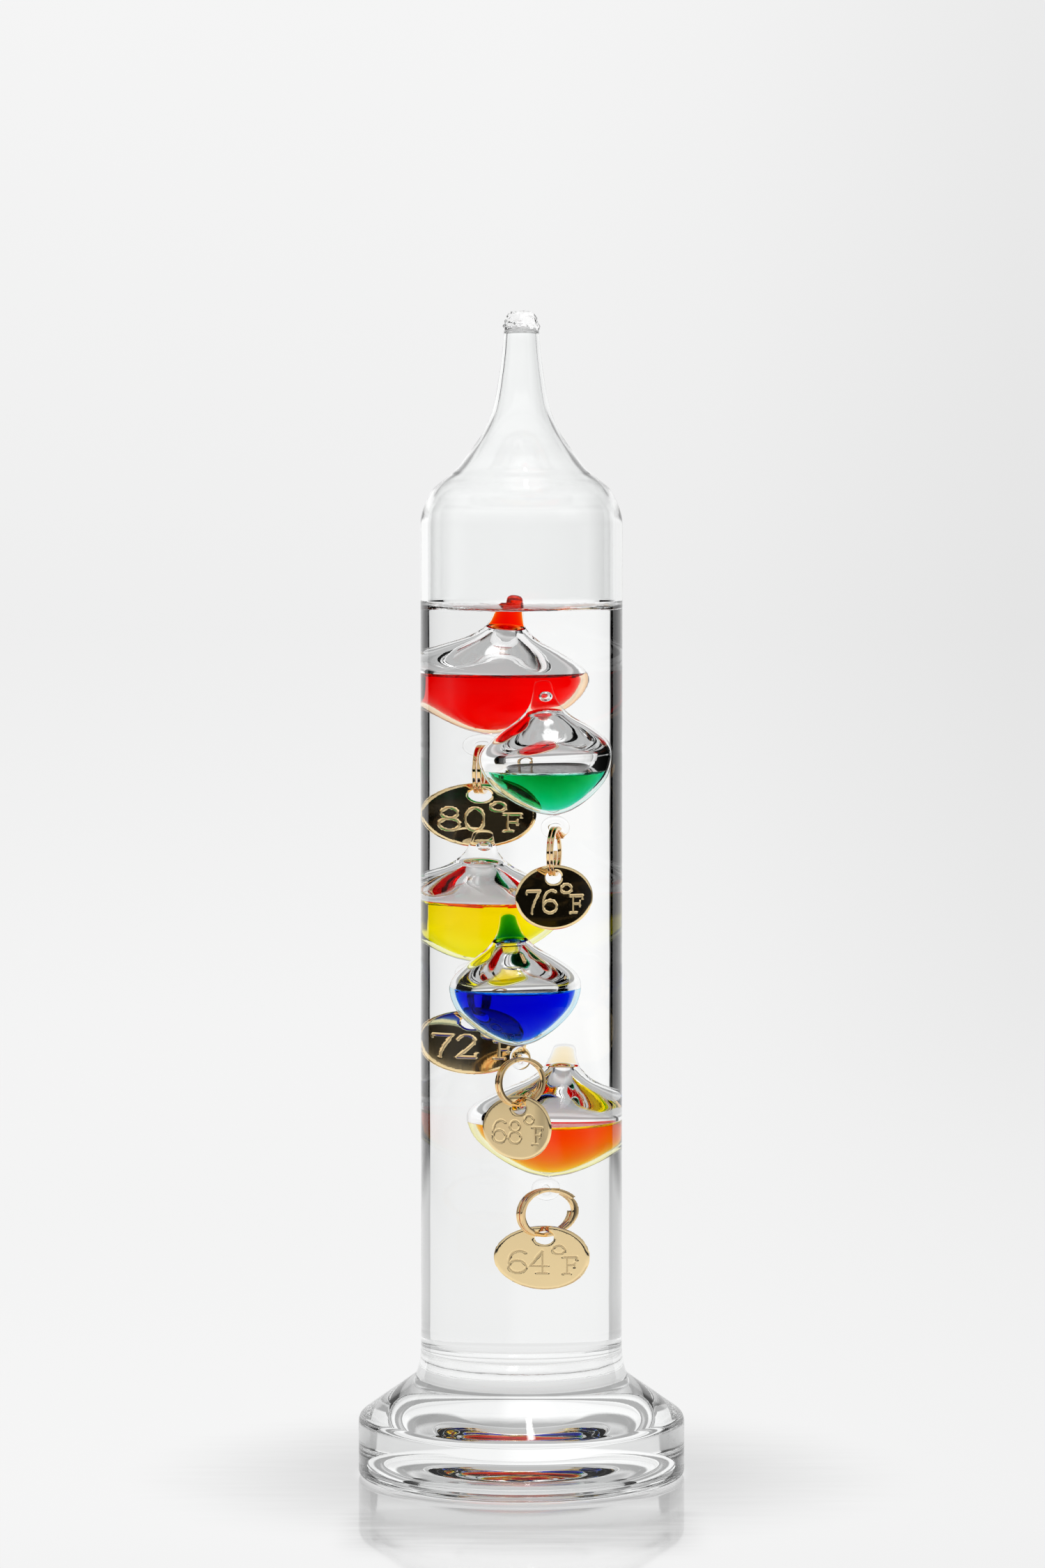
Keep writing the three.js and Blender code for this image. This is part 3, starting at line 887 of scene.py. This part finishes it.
def blend(nodes, links, factor, a, b):
    """Grey a where the factor is 0 and b where it is 1."""
    node = nodes.new("ShaderNodeMix")
    node.data_type = "RGBA"
    for name, value in (("Factor", factor), ("A", a), ("B", b)):
        if isinstance(value, (int, float)):
            node.inputs[name].default_value = value if name == "Factor" else (value, value, value, 1)
        else:
            links.new(value, node.inputs[name])
    return node.outputs["Result"]


# The room's light by direction. X, Y and Z are parts of a direction of length 1; an azimuth is in degrees
# from straight behind the object, towards +X. Each entry is a pair of a place and a level.
BACKDROP_BY_Z = [
    (-0.3, 0.90), (-0.2, 0.913), (-0.13, 0.93), (-0.106, 0.909), (-0.026, 0.86), (0.1, 0.915), (0.4, 0.95),
]
BACKDROP_BY_X = [(-0.2, 1), (0, 1), (0.04, 0.975), (0.095, 0.91), (0.2, 0.9)]
# beside the white backdrop stand black panels, and past them dim walls with a lighter strip on each side
WALLS = [
    (-180, 0.004), (-120, 0.01), (-100, 0.2), (-92, 0.5), (-80, 0.16), (-62, 0.02), (-54, 0), (-46.5, 0),
    (-45.5, 0.9), (50.5, 0.9), (51.5, 0), (60, 0), (78, 0.1), (92, 0.5), (110, 0.1), (125, 0.004),
    (180, 0.004),
]
BACKDROP_SPAN = [(-180, 0), (-46.5, 0), (-45.5, 1), (50.5, 1), (51.5, 0), (180, 0)]
BACKDROP_GAIN_BY_Z = [(-1, 1.12), (0.2, 1.12), (0.26, 0.45), (0.42, 0.45), (0.5, 0.9), (1, 1)]
# a light card low down on the left, towards the front
LOW_CARD_SPAN = [(-180, 0), (-135, 0), (-128, 1), (-100, 1), (-95, 0), (180, 0)]
LOW_CARD_BY_Z = [(-0.3, 1), (-0.11, 1), (-0.06, 0), (0.3, 0)]
# light walls in front, above the table
FRONT_SPAN = [(-180, 1), (-112, 1), (-100, 0), (100, 0), (112, 1), (180, 1)]
FRONT_BY_Z = [(-0.4, 0), (0.05, 0), (0.085, 1), (0.4, 1)]
WALL_LEVEL = 0.65
CEILING_BY_Z = [(-1, 0), (0.44, 0), (0.62, 1), (1, 1)]
CEILING_LEVEL = 0.5
# a wide soft light overhead, and a small hard one in it
OVERHEAD_BY_Z = [(-1, 0), (0.5, 0), (0.6, 1), (1, 1)]
SOFT_LIGHT_BY_X = [(-0.5, 0), (-0.25, 0), (-0.12, 1), (0.2, 1), (0.33, 0), (0.5, 0)]
SOFT_LIGHT_BY_Y = [(-0.5, 0), (-0.33, 0), (-0.2, 1), (0.2, 1), (0.33, 0), (0.5, 0)]
SOFT_LIGHT_LEVEL = 1.5
LAMP_BY_X = [(-0.1, 0), (0.03, 0), (0.052, 1), (0.066, 1), (0.088, 0), (0.2, 0)]
LAMP_BY_Y = [(-0.2, 0), (-0.1, 0), (-0.09, 1), (0.09, 1), (0.1, 0), (0.2, 0)]
LAMP_LEVEL = 25


def make_world():
    """White behind and above, dark at the sides, with one hard lamp overhead.

    The camera itself sees the pale backdrop everywhere.
    """
    world = bpy.data.worlds.new("studio")
    bpy.context.scene.world = world
    world.use_nodes = True
    nodes = world.node_tree.nodes
    links = world.node_tree.links
    nodes.clear()
    coords = nodes.new("ShaderNodeTexCoord")
    split = nodes.new("ShaderNodeSeparateXYZ")
    links.new(coords.outputs["Generated"], split.inputs["Vector"])
    x, y, z = (split.outputs[name] for name in "XYZ")
    azimuth = maths(nodes, links, "MULTIPLY", maths(nodes, links, "ARCTAN2", x, y), 180 / math.pi)

    def zone(*pairs):
        return product(nodes, links, *[ramp(nodes, links, value, stops) for value, stops in pairs])

    backdrop = tinted(nodes, links, zone((z, BACKDROP_BY_Z)), zone((x, BACKDROP_BY_X)))
    walls = zone((azimuth, WALLS))
    walls = blend(nodes, links, zone((azimuth, LOW_CARD_SPAN), (z, LOW_CARD_BY_Z)), walls, WALL_LEVEL)
    behind = tinted(nodes, links, backdrop, zone((z, BACKDROP_GAIN_BY_Z)))
    room = blend(nodes, links, zone((azimuth, BACKDROP_SPAN)), walls, behind)
    room = blend(nodes, links, zone((azimuth, FRONT_SPAN), (z, FRONT_BY_Z)), room, WALL_LEVEL)
    room = blend(nodes, links, zone((z, CEILING_BY_Z)), room, CEILING_LEVEL)
    soft_light = zone((x, SOFT_LIGHT_BY_X), (y, SOFT_LIGHT_BY_Y), (z, OVERHEAD_BY_Z))
    room = blend(nodes, links, soft_light, room, SOFT_LIGHT_LEVEL)
    lamp = zone((x, LAMP_BY_X), (y, LAMP_BY_Y), (z, OVERHEAD_BY_Z))
    room = blend(nodes, links, lamp, room, LAMP_LEVEL)
    shown = nodes.new("ShaderNodeBackground")
    links.new(room, shown.inputs["Color"])
    plain = nodes.new("ShaderNodeBackground")
    links.new(backdrop, plain.inputs["Color"])
    path = nodes.new("ShaderNodeLightPath")
    choose = nodes.new("ShaderNodeMixShader")
    output = nodes.new("ShaderNodeOutputWorld")
    links.new(path.outputs["Is Camera Ray"], choose.inputs["Fac"])
    links.new(shown.outputs["Background"], choose.inputs[1])
    links.new(plain.outputs["Background"], choose.inputs[2])
    links.new(choose.outputs["Shader"], output.inputs["Surface"])


# the table, in metres; each pair is where something is at its full strength, and where it is gone
TABLE_SIZE = 3
TABLE_HEIGHT = -0.0002
TABLE_SIDES = (0.38, 0.50)
TABLE_FRONT = (-0.60, -0.76)
TABLE_BACK = (0.3, 1.2)
TABLE_LIGHT = 0.97
# how dark the painted shadow and the painted reflection make the table
TABLE_SHADE = 0.66
TABLE_ROUGHNESS = 0.06
TABLE_IOR = 1.5
# a painted shadow round the foot
SHADOW_OUTER = (0.02, 0.09)
SHADOW_INNER = (0.041, 0.035)
SHADOW_STREAKS = 0.016
# a painted reflection of the foot: darker streaks on the table in front of it
PAINTED_REFLECTION_SIDES = (0.032, 0.044)
PAINTED_REFLECTION_BACK = (-0.052, -0.04)
PAINTED_REFLECTION_FRONT = (-0.075, -0.104)
PAINTED_REFLECTION_STRENGTH = 1.3
STREAK_STRETCH = (8, 60, 1)


def make_floor():
    """A glossy white table that fades out at its edges, with a painted soft shadow round the foot and a
    painted reflection of the foot in front.
    """
    bpy.ops.mesh.primitive_plane_add(size=TABLE_SIZE, location=(0, 0, TABLE_HEIGHT))
    floor = bpy.context.object
    floor.name = "floor"
    material, nodes, links, _ = new_material("floor_white")
    nodes.clear()
    coords = nodes.new("ShaderNodeTexCoord")
    split = nodes.new("ShaderNodeSeparateXYZ")
    links.new(coords.outputs["Object"], split.inputs["Vector"])
    across = maths(nodes, links, "ABSOLUTE", split.outputs["X"])
    deep = split.outputs["Y"]

    def edge(value, limits):
        """1 at the first limit and beyond, 0 at the second, and smooth between them."""
        spread = nodes.new("ShaderNodeMapRange")
        spread.interpolation_type = "SMOOTHSTEP"
        spread.inputs["From Min"].default_value = limits[1]
        spread.inputs["From Max"].default_value = limits[0]
        links.new(value, spread.inputs["Value"])
        return spread.outputs["Result"]

    solid = product(nodes, links, edge(across, TABLE_SIDES), edge(deep, TABLE_FRONT), edge(deep, TABLE_BACK))
    from_middle = nodes.new("ShaderNodeVectorMath")
    from_middle.operation = "LENGTH"
    links.new(coords.outputs["Object"], from_middle.inputs[0])
    distance = from_middle.outputs["Value"]
    stretched = nodes.new("ShaderNodeMapping")
    stretched.inputs["Scale"].default_value = STREAK_STRETCH
    links.new(coords.outputs["Object"], stretched.inputs["Vector"])
    streaks = nodes.new("ShaderNodeTexNoise")
    streaks.inputs["Scale"].default_value = 4
    streaks.inputs["Detail"].default_value = 4
    links.new(stretched.outputs["Vector"], streaks.inputs["Vector"])
    # a painted shadow round the foot, soft and slightly streaked, lighter again right under it
    ragged = maths(
        nodes, links, "SUBTRACT", distance, product(nodes, links, streaks.outputs["Fac"], SHADOW_STREAKS)
    )
    shadow = product(nodes, links, edge(ragged, SHADOW_OUTER), edge(distance, SHADOW_INNER))
    # and a painted reflection of the foot: darker streaks on the table in front of it
    painted_reflection = product(
        nodes, links, edge(deep, PAINTED_REFLECTION_BACK), edge(deep, PAINTED_REFLECTION_FRONT), edge(across, PAINTED_REFLECTION_SIDES),
        product(nodes, links, streaks.outputs["Fac"], PAINTED_REFLECTION_STRENGTH),
    )
    # the painted shadow and the painted reflection together darken the table's white
    shadow = maths(nodes, links, "ADD", shadow, painted_reflection, clamp=True)
    white = nodes.new("ShaderNodeEmission")
    links.new(blend(nodes, links, shadow, TABLE_LIGHT, TABLE_SHADE), white.inputs["Color"])
    gloss = nodes.new("ShaderNodeBsdfGlossy")
    gloss.inputs["Roughness"].default_value = TABLE_ROUGHNESS
    fresnel = nodes.new("ShaderNodeFresnel")
    fresnel.inputs["IOR"].default_value = TABLE_IOR
    surface = nodes.new("ShaderNodeMixShader")
    links.new(fresnel.outputs["Fac"], surface.inputs["Fac"])
    links.new(white.outputs["Emission"], surface.inputs[1])
    links.new(gloss.outputs["BSDF"], surface.inputs[2])
    nothing = nodes.new("ShaderNodeBsdfTransparent")
    whole = nodes.new("ShaderNodeMixShader")
    links.new(solid, whole.inputs["Fac"])
    links.new(nothing.outputs["BSDF"], whole.inputs[1])
    links.new(surface.outputs["Shader"], whole.inputs[2])
    output = nodes.new("ShaderNodeOutputMaterial")
    links.new(whole.outputs["Shader"], output.inputs["Surface"])
    floor.data.materials.append(material)


make_camera()
make_world()
make_floor()
make_column()
make_liquid()
make_foot()
make_bond()
for colour_name, float_spec in FLOATS.items():
    make_shell(colour_name, float_spec)
    make_dye(colour_name, float_spec)
    if float_spec["plug"]:
        make_plug(colour_name, float_spec)
    make_eye(colour_name, float_spec)
    make_ring(colour_name, float_spec)
    make_tag(colour_name, float_spec)

scene = bpy.context.scene
scene.view_settings.view_transform = "Standard"
scene.cycles.max_bounces = 32
scene.cycles.transmission_bounces = 32
scene.cycles.glossy_bounces = 12
scene.cycles.transparent_max_bounces = 32
scene.cycles.diffuse_bounces = 2
